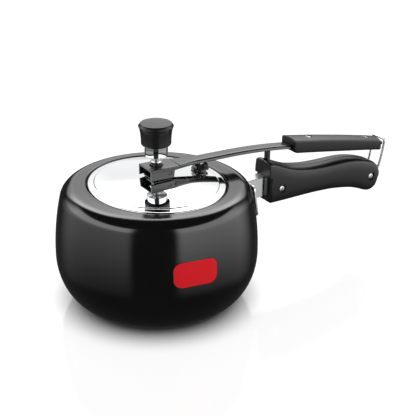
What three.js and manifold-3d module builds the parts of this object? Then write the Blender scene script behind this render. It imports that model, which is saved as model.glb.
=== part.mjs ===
// Stovetop pressure cooker with an inner lid, in millimetres, +Z up.
// The origin is the centre of the base. +X runs along the handles, away from the pot.
// The lid closes from inside the oval mouth. A lever across the lid rocks on a fulcrum
// post that stands in the body handle, and a wire bail holds the two handles together.
import * as THREE from "three";
import Module from "manifold-3d";
import { mergeVertices } from "three/addons/utils/BufferGeometryUtils.js";

const wasm = await Module();
wasm.setup();

// ---- driving dimensions ----
const GAP = 0.3; // between pieces that touch on the real object

const BASE_R = 62; // flat part of the base
const BELLY_R = 98.5; // widest radius
const BELLY_Z = 50.3; // its height
const SIDE_DROP = 9.7; // how far the side draws in over SIDE_RISE
const SIDE_RISE = 71.2;
const CORNER_R = 10; // rounding between side and shoulder
const CORNER_AT = [82.6, 104.67]; // its centre: radius and height
const CORNER_FROM = 12.4; // degrees above horizontal
const CORNER_TO = 74;
const WALL = 3.2;
const MOUTH_Z = 119;
const MOUTH_A = 65.8; // half the mouth along X
const MOUTH_B = 72; // half the mouth along Y
const MOUTH_MEAN = (MOUTH_A + MOUTH_B) / 2;
const TURN = 48; // facets round a turned piece

const LID_TOP = 124.6; // crown of the lid, at its centre
const LID_EDGE_Z = 120.8; // edge of the crown
const LID_SHEET = 1.5;
const LID_SIDE_INSET = 1.2; // gap between the lid's side and the mouth
const FLANGE_Z = 112;
const FLANGE_OUT = 3.7; // how far the flange reaches under the rim

const VENT_R = 3;
const NUT_R = 5.8;
const NUT_TOP = 139;
const WEIGHT_R = 11;
const WEIGHT_NECK_R = 8.6; // the part of the weight that the cap covers
const WEIGHT_Z = 147.1;
const WEIGHT_TOP = 174;
const CAP_Z = 158.7;
const CAP_TOP = 179.1;
const VALVE_X = 49;
const VALVE_STEM_R = 4;

const PIN_AT = [8.2, 131]; // lid pivot: X and Z
const PIN_R = 1.8;
const FULCRUM_AT = [130.1, 102]; // foot of the post: X and Z
const BAIL_AT = [262.2, 73.1]; // rear handle screw, which the bail turns on
const SCREW_AT = [140.8, 85.4]; // front handle screw
const SHANK_R = 2;
const HEAD_R = 3.4;
const RECESS_R = 4.4; // round the screw heads and nuts of the body handle
const RECESS_DEPTH = 1.8;
const GROOVE_HALF = 0.4; // half the width of a screwdriver slot
const WIRE_R = 1.3;
const BAIL_HALF = 8.6; // from the middle to the centre of each leg

const CHANNEL_HALF = 11.8; // half width of the lever's end channel
const BAR_HALF = 7.6; // half width of the lever bar
const LEVER_SHEET = 1.6;
const HANDLE_HALF = 14;
const TANG_HALF = 5.2; // half width of the bracket where it is inside the handle
const TANG_END = 165;
const TANG_Z = [79, 100];

// ---- helpers ----
const rad = THREE.MathUtils.degToRad;

function toSolid(geometry) {
  const plain = geometry.clone();
  plain.deleteAttribute("normal");
  plain.deleteAttribute("uv");
  const merged = mergeVertices(plain, 1e-4);
  return new wasm.Manifold(new wasm.Mesh({
    numProp: 3,
    vertProperties: new Float32Array(merged.attributes.position.array),
    triVerts: new Uint32Array(merged.index.array),
  }));
}

function toGeometry(solid) {
  const mesh = solid.getMesh();
  const geometry = new THREE.BufferGeometry();
  geometry.setAttribute("position", new THREE.BufferAttribute(mesh.vertProperties, 3));
  geometry.setIndex(new THREE.BufferAttribute(mesh.triVerts, 1));
  return geometry;
}

// A solid cylinder along "x", "y" or "z", centred on (x, y, z).
function rod(axis, radius, length, [x, y, z], sides = 20) {
  const geometry = new THREE.CylinderGeometry(radius, radius, length, sides);
  if (axis === "z") geometry.rotateX(Math.PI / 2);
  if (axis === "x") geometry.rotateZ(Math.PI / 2);
  geometry.translate(x, y, z);
  return toSolid(geometry);
}

function block([x0, x1], [y0, y1], [z0, z1]) {
  const geometry = new THREE.BoxGeometry(x1 - x0, y1 - y0, z1 - z0);
  geometry.translate((x0 + x1) / 2, (y0 + y1) / 2, (z0 + z1) / 2);
  return toSolid(geometry);
}

// How much further the oval mouth is from the axis than its mean, in the direction (x, y).
function ovalGrowth(x, y) {
  const far = Math.hypot(x, y) || 1;
  const reach = (MOUTH_A * MOUTH_B) / Math.hypot(MOUTH_B * x / far, MOUTH_A * y / far);
  return reach - MOUTH_MEAN;
}

// A turned piece from a profile of [radius, height, oval share]. The share is 0 for a
// round section and 1 for one that follows the oval of the mouth.
function turned(profile, sides = TURN) {
  const points = profile.map(([r, z]) => new THREE.Vector2(r, z));
  const geometry = new THREE.LatheGeometry(points, sides);
  geometry.rotateX(Math.PI / 2);
  const place = geometry.attributes.position;
  for (let i = 0; i < place.count; i++) {
    const share = profile[i % profile.length][2] || 0;
    const [x, y] = [place.getX(i), place.getY(i)];
    const far = Math.hypot(x, y);
    if (!share || far < 1e-6) continue;
    const scale = 1 + (share * ovalGrowth(x, y)) / far;
    place.setXY(i, x * scale, y * scale);
  }
  return toSolid(geometry);
}

// A skin over a row of outlines that all have the same number of [x, y, z] points.
function loft(outlines, capPlane) {
  const count = outlines[0].length;
  const vertices = outlines.flat(2);
  const index = [];
  for (let i = 0; i + 1 < outlines.length; i++) {
    for (let j = 0; j < count; j++) {
      const a = i * count + j;
      const b = i * count + (j + 1) % count;
      index.push(a, b, a + count, b, b + count, a + count);
    }
  }
  const flat = outlines[0].map((p) => new THREE.Vector2(p[capPlane[0]], p[capPlane[1]]));
  const last = (outlines.length - 1) * count;
  for (const [a, b, c] of THREE.ShapeUtils.triangulateShape(flat, [])) {
    index.push(a, c, b, last + a, last + b, last + c);
  }
  const geometry = new THREE.BufferGeometry();
  geometry.setAttribute("position", new THREE.Float32BufferAttribute(vertices, 3));
  geometry.setIndex(index);
  return toSolid(geometry);
}

// A rounded rectangle across X, counter-clockwise when seen from +X.
function roundedSection(x, half, low, high, corner, steps = 3) {
  const outline = [];
  const centres = [[half, high, 0], [-half, high, 90], [-half, low, 180], [half, low, 270]];
  for (const [y, z, from] of centres) {
    for (let i = 0; i <= steps; i++) {
      const turn = rad(from + (90 * i) / steps);
      const inset = [y - Math.sign(y) * corner, z + (z === high ? -corner : corner)];
      outline.push([x, inset[0] + corner * Math.cos(turn), inset[1] + corner * Math.sin(turn)]);
    }
  }
  return outline;
}

function along(points) {
  return new THREE.CatmullRomCurve3(points.map(([x, y, z]) => new THREE.Vector3(x, y, z)));
}

// Height (or any second value) at x on a smooth line through [x, value] points.
function lineThrough(points) {
  return (x) => {
    let i = 1;
    while (i < points.length - 1 && x > points[i][0]) i++;
    const [before, a, b, after] = [points[Math.max(i - 2, 0)], points[i - 1], points[i],
      points[Math.min(i + 1, points.length - 1)]];
    const t = THREE.MathUtils.clamp((x - a[0]) / (b[0] - a[0]), 0, 1);
    const width = b[0] - a[0];
    const slopeA = (b[1] - before[1]) / (b[0] - before[0] || 1) * width;
    const slopeB = (after[1] - a[1]) / (after[0] - a[0] || 1) * width;
    const [t2, t3] = [t * t, t * t * t];
    return (2 * t3 - 3 * t2 + 1) * a[1] + (t3 - 2 * t2 + t) * slopeA
      + (3 * t2 - 2 * t3) * b[1] + (t3 - t2) * slopeB;
  };
}

const finishes = {
  anodised: { color: 0x202224, roughness: 0.35, metalness: 0.6 },
  phenolic: { color: 0x1d1d1e, roughness: 0.45, metalness: 0 },
  steel: { color: 0xc9cacc, roughness: 0.22, metalness: 1 },
  mirror: { color: 0xdedfe0, roughness: 0.05, metalness: 1 },
  lever: { color: 0x55575a, roughness: 0.32, metalness: 0.8 },
  rubber: { color: 0x2b2b2d, roughness: 0.8, metalness: 0 },
  label: { color: 0xb3121d, roughness: 0.4, metalness: 0 },
};

const cooker = new THREE.Group();

function add(name, solid, finish) {
  const material = new THREE.MeshStandardMaterial(finishes[finish]);
  const piece = new THREE.Mesh(toGeometry(solid), material);
  piece.name = name;
  cooker.add(piece);
}

// ---- pot ----
function sideRadius(z) {
  return BELLY_R - SIDE_DROP * ((z - BELLY_Z) / SIDE_RISE) ** 2;
}

// One face of the wall, from the base up to the mouth, moved outwards by "grow".
function wallFace(grow, sideSteps) {
  const face = [[BASE_R, -grow, 0]];
  for (let i = 1; i <= sideSteps; i++) {
    const turn = rad(-90 + (90 * i) / sideSteps);
    face.push([
      BASE_R + (BELLY_R + grow - BASE_R) * Math.cos(turn),
      BELLY_Z + (BELLY_Z + grow) * Math.sin(turn), 0]);
  }
  const cornerStart = CORNER_AT[1] + CORNER_R * Math.sin(rad(CORNER_FROM));
  for (let i = 1; i < sideSteps; i++) {
    const z = BELLY_Z + ((cornerStart - BELLY_Z) * i) / sideSteps;
    face.push([sideRadius(z) + grow, z, 0]);
  }
  const cornerSteps = 5;
  for (let i = 0; i <= cornerSteps; i++) {
    const turn = rad(CORNER_FROM + ((CORNER_TO - CORNER_FROM) * i) / cornerSteps);
    face.push([
      CORNER_AT[0] + (CORNER_R + grow) * Math.cos(turn),
      CORNER_AT[1] + (CORNER_R + grow) * Math.sin(turn), 0]);
  }
  return face;
}

const RIVETS = [[-24, 92], [24, 92], [0, 84]]; // Y and Z of each rivet's middle
const RIVET_R = 2.4;

function rivetHoles() {
  return RIVETS.map(([y, z]) => rod("x", RIVET_R + GAP, 40, [90, y, z], 14));
}

function vessel() {
  const outside = wallFace(0, 6);
  const inside = wallFace(-WALL, 5).reverse();
  const lip = [
    [MOUTH_MEAN + 1.6, MOUTH_Z, 1],
    [MOUTH_MEAN + 0.4, MOUTH_Z - 0.4, 1],
    [MOUTH_MEAN, MOUTH_Z - 1.6, 1],
    [MOUTH_MEAN + 0.6, MOUTH_Z - WALL, 1],
  ];
  const shell = turned([[0, 0, 0], ...outside, ...lip, ...inside, [0, WALL, 0]]);
  return rivetHoles().reduce((solid, hole) => solid.subtract(hole), shell);
}

// A thin plate that follows the side of the pot. The angle is measured from +X.
function labelPlate(angle, height, halfWide, halfHigh) {
  const sheet = 0.5;
  const [inner, outer] = [[], []];
  for (let z = height - halfHigh - 1; z <= height + halfHigh + 1; z += 4) {
    inner.push([sideRadius(z) + GAP, z]);
    outer.push([sideRadius(z) + GAP + sheet, z]);
  }
  const ring = turned([...inner, ...outer.reverse(), inner[0]].reverse());
  const corner = halfHigh * 0.6;
  const shape = new THREE.Shape();
  shape.moveTo(corner - halfWide, -halfHigh);
  shape.absarc(halfWide - corner, corner - halfHigh, corner, -Math.PI / 2, 0);
  shape.absarc(halfWide - corner, halfHigh - corner, corner, 0, Math.PI / 2);
  shape.absarc(corner - halfWide, halfHigh - corner, corner, Math.PI / 2, Math.PI);
  shape.absarc(corner - halfWide, corner - halfHigh, corner, Math.PI, 1.5 * Math.PI);
  const prism = new THREE.ExtrudeGeometry(shape, {
    depth: BELLY_R + 20, bevelEnabled: false, curveSegments: 5 });
  prism.rotateX(Math.PI / 2);
  prism.rotateZ(rad(angle + 90));
  prism.translate(0, 0, height);
  return ring.intersect(toSolid(prism));
}

add("vessel", vessel(), "anodised");
add("label_plate", labelPlate(-99.5, 69.5, 21, 12), "label");

// ---- bracket on the pot, and its rivets ----
const SADDLE_HALF = 38;
const SADDLE_Z = [75, 108];
const SADDLE_BEND = 125; // flatter than the pot, so its edges stand off a little
const SADDLE_SHEET = 2;

function saddleSheet() {
  const rows = 8;
  const columns = 12;
  const outlines = [];
  for (let i = 0; i <= rows; i++) {
    const z = SADDLE_Z[0] + ((SADDLE_Z[1] - SADDLE_Z[0]) * i) / rows;
    const inner = [];
    const outer = [];
    for (let j = 0; j <= columns; j++) {
      const y = -SADDLE_HALF + (2 * SADDLE_HALF * j) / columns;
      const bend = SADDLE_BEND - Math.sqrt(SADDLE_BEND ** 2 - y ** 2);
      const x = sideRadius(z) + 2 * GAP - bend;
      inner.push([x, y, z]);
      outer.push([x + SADDLE_SHEET, y, z]);
    }
    outlines.push([...inner.reverse(), ...outer]);
  }
  return loft(outlines, [0, 1]);
}

// One side plate of the bracket, seen from above, as a bent strip of sheet.
function bracketSide(sign) {
  const sheet = 1.8;
  const outer = [[93, 7], [118, 7], [122, TANG_HALF], [TANG_END, TANG_HALF]];
  const inner = outer.map(([x, y]) => [x, y - sheet]).reverse();
  const shape = new THREE.Shape([...outer, ...inner].map(([x, y]) => new THREE.Vector2(x, sign * y)));
  const geometry = new THREE.ExtrudeGeometry(shape, {
    depth: TANG_Z[1] - TANG_Z[0], bevelEnabled: false });
  geometry.translate(0, 0, TANG_Z[0]);
  return toSolid(geometry);
}

function handleBracket() {
  const keepOut = turned([[0, 0, 0], ...wallFace(GAP, 6), [0, CORNER_AT[1] + CORNER_R, 0]]);
  const webZ = [TANG_Z[1] - 2, TANG_Z[1]];
  const web = block([97, 119], [-6.2, 6.2], webZ).add(
    block([118, TANG_END], [1 - TANG_HALF, TANG_HALF - 1], webZ));
  const sides = bracketSide(1).add(bracketSide(-1)).add(web).subtract(keepOut);
  let bracket = saddleSheet().add(sides);
  bracket = bracket.subtract(rod("y", SHANK_R + 0.4, 30, [SCREW_AT[0], 0, SCREW_AT[1]]));
  return rivetHoles().reduce((solid, hole) => solid.subtract(hole), bracket);
}

// A rivet along X, with a low domed head outside the saddle and one inside the pot.
function rivet(y, z) {
  const bend = SADDLE_BEND - Math.sqrt(SADDLE_BEND ** 2 - y ** 2);
  const outside = sideRadius(z) + 2 * GAP - bend + SADDLE_SHEET + 0.9;
  const inside = Math.sqrt((sideRadius(z) - WALL) ** 2 - (Math.abs(y) + 4) ** 2) - 0.6;
  const head = 2;
  const profile = [[0, inside - head], [3.2, inside - 1.2], [4, inside], [RIVET_R, inside],
    [RIVET_R, outside], [4, outside], [3.2, outside + 1.2], [0, outside + head]];
  const shape = new THREE.LatheGeometry(profile.map(([r, h]) => new THREE.Vector2(r, h)), 14);
  shape.rotateZ(-Math.PI / 2);
  shape.translate(0, y, z);
  return toSolid(shape);
}

add("handle_bracket", handleBracket(), "steel");
RIVETS.forEach(([y, z], i) => add(`bracket_rivet_${i + 1}`, rivet(y, z), "steel"));

// ---- body handle: two halves with a post slot in front and bail slots behind ----
const BROW_Z = 99.8; // below the brow, the front of the handle is set back
const SET_BACK_X = 128.4;

const handleTop = lineThrough([[125, 115], [129, 114.9], [141, 109.8], [155, 104], [168, 100.9],
  [181, 98.9], [195, 97.9], [209, 97.6], [222, 97.4], [236, 96.3], [250, 93.4], [264, 88.8],
  [272, 84.2], [275.4, 79]]);
const handleBottom = lineThrough([[125, 71.2], [150, 71], [180, 71], [194, 70.5], [208, 69.6],
  [222, 67.7], [236, 64.9], [246, 61.6], [254, 58.2], [261, 56.2], [266, 57], [272, 61.6],
  [275.4, 70]]);

function handleBlank() {
  const stations = [125, 126, 129, 135, 141, 148, 155, 162, 170, 180, 195, 209, 222, 236, 246,
    254, 261, 266, 270, 273, 275.4];
  return loft(stations.map((x) => {
    const half = HANDLE_HALF - (x === stations[0] ? 1 : 0) - (x > 270 ? 0.35 * (x - 270) : 0);
    return roundedSection(x, half, handleBottom(x), handleTop(x), x > 274 ? 3.5 : 5);
  }), [1, 2]);
}

function handleHalf(sign) {
  const side = sign > 0 ? [0.15, 20] : [-20, -0.15];
  const pocket = block([120, TANG_END + 0.5], [-TANG_HALF - GAP, TANG_HALF + GAP],
    [TANG_Z[0] - 0.4, TANG_Z[1] + 0.4]);
  const postSlot = block([126.9, 134], [-3.6, 3.6], [TANG_Z[1], 120]);
  const setBack = block([110, SET_BACK_X], [-20, 20], [60, BROW_Z]);
  const bailSlot = (y) => block([255.8, 290], [y - 1.75, y + 1.75], [40, 110]);
  const recess = ([x, z]) => rod("y", RECESS_R, 2 * RECESS_DEPTH, [x, sign * HANDLE_HALF, z]);
  const bore = ([x, z]) => rod("y", SHANK_R + GAP, 40, [x, 0, z]);
  return [pocket, postSlot, setBack, bailSlot(sign * BAIL_HALF), recess(SCREW_AT), bore(SCREW_AT),
    recess(BAIL_AT), bore(BAIL_AT)].reduce(
    (solid, cut) => solid.subtract(cut),
    handleBlank().intersect(block([100, 300], side, [40, 130])));
}

// A slotted screw along Y whose head sits in the recess of the near half.
function handleScrew([x, z]) {
  const face = RECESS_DEPTH - GAP - HANDLE_HALF;
  const length = 24.6;
  const headHeight = 1.4;
  const shank = rod("y", SHANK_R, length, [x, face + length / 2 - 0.1, z]);
  const head = rod("y", HEAD_R, headHeight, [x, face - headHeight / 2, z]);
  const groove = block([x - 5, x + 5], [face - 2, face - 0.8], [z - GROOVE_HALF, z + GROOVE_HALF]);
  return shank.add(head).subtract(groove);
}

function handleNut([x, z]) {
  const face = HANDLE_HALF - RECESS_DEPTH + GAP;
  const height = 1.4;
  return rod("y", 3.7, height, [x, face + height / 2, z], 6).subtract(
    rod("y", SHANK_R + GAP, 4, [x, face, z]));
}

add("handle_half_near", handleHalf(-1), "phenolic");
add("handle_half_far", handleHalf(1), "phenolic");
add("front_handle_screw", handleScrew(SCREW_AT), "steel");
add("front_handle_nut", handleNut(SCREW_AT), "steel");
add("rear_handle_screw", handleScrew(BAIL_AT), "steel");
add("rear_handle_nut", handleNut(BAIL_AT), "steel");

// ---- locking bail: one wire with an eye at each end, turning on the rear screw ----
const BAIL_TOP = [281.6, 111.2];

function lockingBail() {
  const eye = SHANK_R + 0.35 + WIRE_R;
  const leg = (sign) => {
    const points = [];
    for (let turn = -285; turn <= -15; turn += 27) {
      points.push([BAIL_AT[0] + eye * Math.cos(rad(turn)), sign * BAIL_HALF,
        BAIL_AT[1] + eye * Math.sin(rad(turn))]);
    }
    points.push([269, sign * BAIL_HALF, 74.4], [274.6, sign * BAIL_HALF, 78],
      [277.6, sign * BAIL_HALF, 84], [279.3, sign * (BAIL_HALF + 0.2), 93],
      [281.4, sign * (BAIL_HALF + 0.5), 103.5], [BAIL_TOP[0], sign * (BAIL_HALF + 0.2), 109.6]);
    return points;
  };
  const top = [[BAIL_TOP[0], -BAIL_HALF + 1.6, BAIL_TOP[1]], [BAIL_TOP[0], 0, BAIL_TOP[1]],
    [BAIL_TOP[0], BAIL_HALF - 1.6, BAIL_TOP[1]]];
  const path = along([...leg(-1), ...top, ...leg(1).reverse()]);
  const section = new THREE.Shape();
  section.absarc(0, 0, WIRE_R, 0, 2 * Math.PI);
  return toSolid(new THREE.ExtrudeGeometry(section, {
    steps: 96, curveSegments: 4, bevelEnabled: false, extrudePath: path }));
}

add("locking_bail", lockingBail(), "steel");

// ---- lid with its gasket ----
function lidCrown(radius) {
  const share = radius / (MOUTH_MEAN - 6);
  return LID_TOP - (LID_TOP - LID_EDGE_Z) * share * share;
}

function lid() {
  const side = MOUTH_MEAN - LID_SIDE_INSET;
  const crown = [15, 30, 45, MOUTH_MEAN - 6].map((r) => [r, lidCrown(r), r / MOUTH_MEAN]);
  const lower = crown.map(([r, z, share]) => [r - 0.6, z - LID_SHEET, share]).reverse();
  const profile = [
    [0, LID_TOP, 0], ...crown,
    [side - 2.2, LID_EDGE_Z - 0.6, 1], [side - 0.6, LID_EDGE_Z - 1.6, 1], [side, MOUTH_Z - 1.4, 1],
    [side, FLANGE_Z, 1], [MOUTH_MEAN + FLANGE_OUT, FLANGE_Z, 1],
    [MOUTH_MEAN + FLANGE_OUT, FLANGE_Z - LID_SHEET, 1], [side - LID_SHEET, FLANGE_Z - LID_SHEET, 1],
    [side - LID_SHEET, MOUTH_Z - 2, 1], [side - LID_SHEET - 1.6, MOUTH_Z - 0.8, 1],
    ...lower, [0, LID_TOP - LID_SHEET, 0],
  ];
  const shell = turned(profile.reverse());
  return shell
    .subtract(rod("z", VENT_R + 0.4, 30, [0, 0, LID_TOP]))
    .subtract(rod("z", VALVE_STEM_R + 0.4, 30, [VALVE_X, 0, LID_TOP]));
}

function gasket() {
  const inner = MOUTH_MEAN - LID_SIDE_INSET + GAP;
  const low = FLANGE_Z + GAP;
  return turned([
    [inner, low, 1], [inner + 4.2, low, 1], [inner + 4.4, low + 0.6, 1],
    [inner + 4, low + 1.9, 1], [inner + 1.2, low + 2.9, 1], [inner, low + 2.4, 1],
    [inner, low, 1]]);
}

add("lid", lid(), "mirror");
add("sealing_gasket", gasket(), "rubber");

// ---- lid bracket, vent tube and nuts, pivot pin ----
const STIRRUP_HALF = 9.8;
const STIRRUP_X = [-8.5, 11.2];
const STIRRUP_BASE = LID_TOP + GAP;
const STIRRUP_TOP = 133.6;
const STIRRUP_SHEET = 1.5;

function lidBracket() {
  const inside = STIRRUP_HALF - STIRRUP_SHEET;
  const base = block(STIRRUP_X, [-STIRRUP_HALF, STIRRUP_HALF],
    [STIRRUP_BASE, STIRRUP_BASE + STIRRUP_SHEET]);
  const wall = (sign) => {
    const ys = sign > 0 ? [inside, STIRRUP_HALF] : [-STIRRUP_HALF, -inside];
    return block(STIRRUP_X, ys, [STIRRUP_BASE, STIRRUP_TOP]);
  };
  return base.add(wall(1)).add(wall(-1))
    .subtract(rod("z", VENT_R + 0.4, 10, [0, 0, STIRRUP_BASE]))
    .subtract(rod("y", PIN_R + GAP, 40, [PIN_AT[0], 0, PIN_AT[1]]));
}

// A tube with a seat cone on top, open from end to end, with two round beads.
function ventTube() {
  const bore = 1.2;
  const foot = LID_TOP - LID_SHEET - 6;
  const tip = 169;
  return turned([
    [bore, foot], [VENT_R, foot], [VENT_R, NUT_TOP + 0.4], [4.4, NUT_TOP + 0.4],
    [5.5, NUT_TOP + 1.4], [5.5, NUT_TOP + 2.8], [4.2, NUT_TOP + 4.2], [4.9, NUT_TOP + 5.2],
    [4.9, NUT_TOP + 6.2], [3.6, NUT_TOP + 7.4], [VENT_R, NUT_TOP + 8.4], [VENT_R, tip - 3],
    [1.9, tip], [bore, tip], [bore, foot]], 20);
}

// A nut with a hole for the tube. The number of sides is 6 for a hexagon.
function nut(radius, hole, low, high, x = 0, sides = 6) {
  const body = rod("z", radius, high - low, [x, 0, (low + high) / 2], sides);
  return body.subtract(rod("z", hole, 40, [x, 0, low]));
}

const UNDER_LID = LID_TOP - LID_SHEET - GAP;
add("lid_bracket", lidBracket(), "steel");
add("vent_tube", ventTube(), "steel");
add("vent_nut", nut(NUT_R, VENT_R + GAP, STIRRUP_BASE + STIRRUP_SHEET + GAP, NUT_TOP, 0, 20),
  "phenolic");
add("vent_locknut", nut(6.5, VENT_R + GAP, UNDER_LID - 4, UNDER_LID), "steel");
add("lid_pivot_pin", rod("y", PIN_R, 2 * CHANNEL_HALF - 0.2, [PIN_AT[0], 0, PIN_AT[1]]), "steel");

// ---- safety valve ----
const VALVE_SEAT = lidCrown(VALVE_X - 8) + GAP;

function valveBody() {
  const flange = rod("z", 8.6, 1.6, [VALVE_X, 0, VALVE_SEAT + 0.8], 24);
  const hexagon = rod("z", 7.6, 5.2, [VALVE_X, 0, VALVE_SEAT + 3.2], 6);
  const stem = rod("z", VALVE_STEM_R, 12, [VALVE_X, 0, VALVE_SEAT - 5], 16);
  return flange.add(hexagon).add(stem).subtract(rod("z", 2.2, 40, [VALVE_X, 0, VALVE_SEAT], 16));
}

function valvePlug() {
  return turned([[0, -4], [1.9, -4], [1.9, 2.6], [3.4, 2.6], [3.4, 3.4], [2, 4], [0, 4.1]], 16)
    .translate([VALVE_X, 0, VALVE_SEAT + 3.6]);
}

const VALVE_UNDER = lidCrown(VALVE_X + 8) - LID_SHEET - GAP;
add("safety_valve_body", valveBody(), "lever");
add("safety_valve_plug", valvePlug(), "steel");
add("safety_valve_nut", nut(6.8, VALVE_STEM_R + GAP, VALVE_UNDER - 3, VALVE_UNDER, VALVE_X),
  "steel");

// ---- pressure regulator: a weight with a cap, which lifts off the vent tube ----
const NECK_Z = CAP_Z + 3;

function regulatorWeight() {
  const [bore, boreTop] = [VENT_R + 0.5, 170.2];
  return turned([
    [0, boreTop], [bore, boreTop], [bore, WEIGHT_Z], [WEIGHT_R - 0.8, WEIGHT_Z],
    [WEIGHT_R, WEIGHT_Z + 0.8], [WEIGHT_R, NECK_Z], [WEIGHT_NECK_R, NECK_Z],
    [WEIGHT_NECK_R, WEIGHT_TOP], [0, WEIGHT_TOP]], 28);
}

// A cap that flares towards its flat top.
function regulatorCap() {
  const [skirt, neck, ceiling] = [WEIGHT_R + GAP, WEIGHT_NECK_R + GAP, WEIGHT_TOP + GAP];
  return turned([
    [skirt, CAP_Z + 0.6], [12.2, CAP_Z], [13.4, CAP_Z + 0.9], [14.1, CAP_Z + 2.6],
    [14.4, CAP_Z + 9], [15.2, WEIGHT_TOP], [16.5, CAP_TOP - 2.7], [16.65, CAP_TOP - 1.9],
    [16, CAP_TOP - 0.7], [15, CAP_TOP], [0, CAP_TOP - 0.6], [0, ceiling], [neck, ceiling],
    [neck, NECK_Z + GAP], [skirt, NECK_Z + GAP], [skirt, CAP_Z + 0.6]], 28);
}

add("regulator_weight", regulatorWeight(), "mirror");
add("regulator_cap", regulatorCap(), "phenolic");

// ---- lever: a pressed channel that is wide over the lid and narrow beyond ----
const leverTop = lineThrough([[-12.3, 137.1], [12.4, 136.4], [38, 135.6], [50, 135.2], [70, 134.7],
  [90, 134.1], [110, 133], [130, 131.2], [145, 129.4], [160, 127.2], [200, 120.2], [240, 112.6],
  [268, 106.6]]);
const leverHalf = lineThrough([[-12.3, CHANNEL_HALF], [14, CHANNEL_HALF], [20, 10.6], [34, 8.2],
  [42, BAR_HALF], [268, BAR_HALF]]);

const BAR_DEPTH = 3.6;

function leverSection(x, depth) {
  const [half, top] = [leverHalf(x), leverTop(x)];
  const low = top - depth;
  const inside = half - LEVER_SHEET;
  const under = top - LEVER_SHEET;
  return [[x, half, low], [x, half, top - 0.8], [x, half - 0.8, top], [x, 0.8 - half, top],
    [x, -half, top - 0.8], [x, -half, low], [x, -inside, low], [x, -inside, under],
    [x, inside, under], [x, inside, low]];
}

function leverBar() {
  const stations = [16, 20, 26, 34, 42, 52, 70, 90, 110, 130, 145, 160, 180, 200, 220, 240, 268];
  const outlines = [leverSection(-12.3, 10.7), leverSection(12.4, 10.4), leverSection(12.9, 4)];
  stations.forEach((x) => outlines.push(leverSection(x, BAR_DEPTH)));
  return loft(outlines, [1, 2])
    .subtract(rod("z", NUT_R + 1, 12, [0, 0, 136]))
    .subtract(rod("y", PIN_R + GAP, 40, [PIN_AT[0], 0, PIN_AT[1]]));
}

// A flat bar below the lever with a round foot that rests in the body handle.
function fulcrumPost() {
  const [x, z] = FULCRUM_AT;
  const halfY = 3.1;
  const shank = block([x - 1.7, x + 1.7], [-halfY, halfY], [z, leverTop(x) - LEVER_SHEET - GAP]);
  return shank.add(rod("y", 1.7, 2 * halfY, [x, 0, z], 16));
}

add("lever_bar", leverBar(), "lever");
add("fulcrum_post", fulcrumPost(), "lever");

// ---- grip on the lever, with two screws from above ----
const gripTop = lineThrough([[156, 133.7], [176, 130.3], [196, 126.8], [216, 123], [237, 118.9],
  [259, 114.3], [280, 109.6]]);
const gripDepth = lineThrough([[156, 13.4], [196, 13.1], [237, 12.2], [280, 10.6]]);
const gripHalf = lineThrough([[156, 11.5], [280, 9.6]]);
const GRIP_CROWN = 2.2; // how far the top rises between its edges
const GRIP_SCREWS = [182, 261.5];
const GRIP_RECESS_DEPTH = 1.6;

function gripSection(x, half, low, high, corner) {
  const outline = roundedSection(x, half, low, high, corner, 2);
  const crown = [0.5, 0, -0.5].map((share) =>
    [x, share * half, high + GRIP_CROWN * (1 - share ** 2)]);
  return [...outline.slice(0, 3), ...crown, ...outline.slice(3)];
}

// The grip ends in a nose, whose tongue slopes away under the bail.
function lidGrip() {
  const stations = [156, 157, 176, 196, 216, 237, 259, 273];
  const outlines = stations.map((x) => {
    const trim = x === stations[0] ? 0.8 : 0;
    return gripSection(x, gripHalf(x) - trim, gripTop(x) - gripDepth(x) + trim,
      gripTop(x) - trim, 2.2);
  });
  const nose = [[275.6, 9.2, 0.2, 1], [277.4, 7.8, 1, 2.6]].map(([x, half, drop, lift]) =>
    gripSection(x, half, gripTop(x) - gripDepth(x) + lift, gripTop(x) - drop, 1.8));
  const tongue = loft([[275, 0], [279.4, 0], [283.2, 2.6]].map(([x, drop]) => roundedSection(
    x, 4.5, 104.2, gripTop(278) - 1 - drop, 0.6, 1)), [1, 2]);
  const solid = loft([...outlines, ...nose], [1, 2]).add(tongue);
  const barRoom = loft([150, 160, 180, 200, 220, 240, 268.5].map((x) => {
    const [half, top] = [BAR_HALF + GAP, leverTop(x) + GAP];
    const low = leverTop(x) - BAR_DEPTH - GAP;
    return [[x, half, low], [x, half, top], [x, -half, top], [x, -half, low]];
  }), [1, 2]);
  return GRIP_SCREWS.reduce((body, x) => body
    .subtract(rod("z", 4, 6, [x, 0, gripTop(x) + GRIP_CROWN - GRIP_RECESS_DEPTH + 3]))
    .subtract(rod("z", SHANK_R + GAP, 12, [x, 0, gripTop(x) - 4])), solid.subtract(barRoom));
}

function gripScrew(x) {
  const seat = gripTop(x) + GRIP_CROWN - GRIP_RECESS_DEPTH + GAP;
  const head = rod("z", 3.3, 1.3, [x, 0, seat + 0.65]);
  const shank = rod("z", SHANK_R, 3, [x, 0, seat - 1.4]);
  const groove = block([x - 5, x + 5], [-GROOVE_HALF, GROOVE_HALF], [seat + 0.7, seat + 3]);
  return head.add(shank).subtract(groove);
}

add("lid_grip", lidGrip(), "phenolic");
add("grip_screw_front", gripScrew(GRIP_SCREWS[0]), "steel");
add("grip_screw_rear", gripScrew(GRIP_SCREWS[1]), "steel");

export default cooker;
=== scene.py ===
"""Stovetop pressure cooker with an inner lid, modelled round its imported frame."""
import math

import bmesh
import bpy
from bpy.props import FloatProperty, FloatVectorProperty, PointerProperty
from bpy.types import Operator, Panel, PropertyGroup
from mathutils import Matrix, Vector


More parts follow.
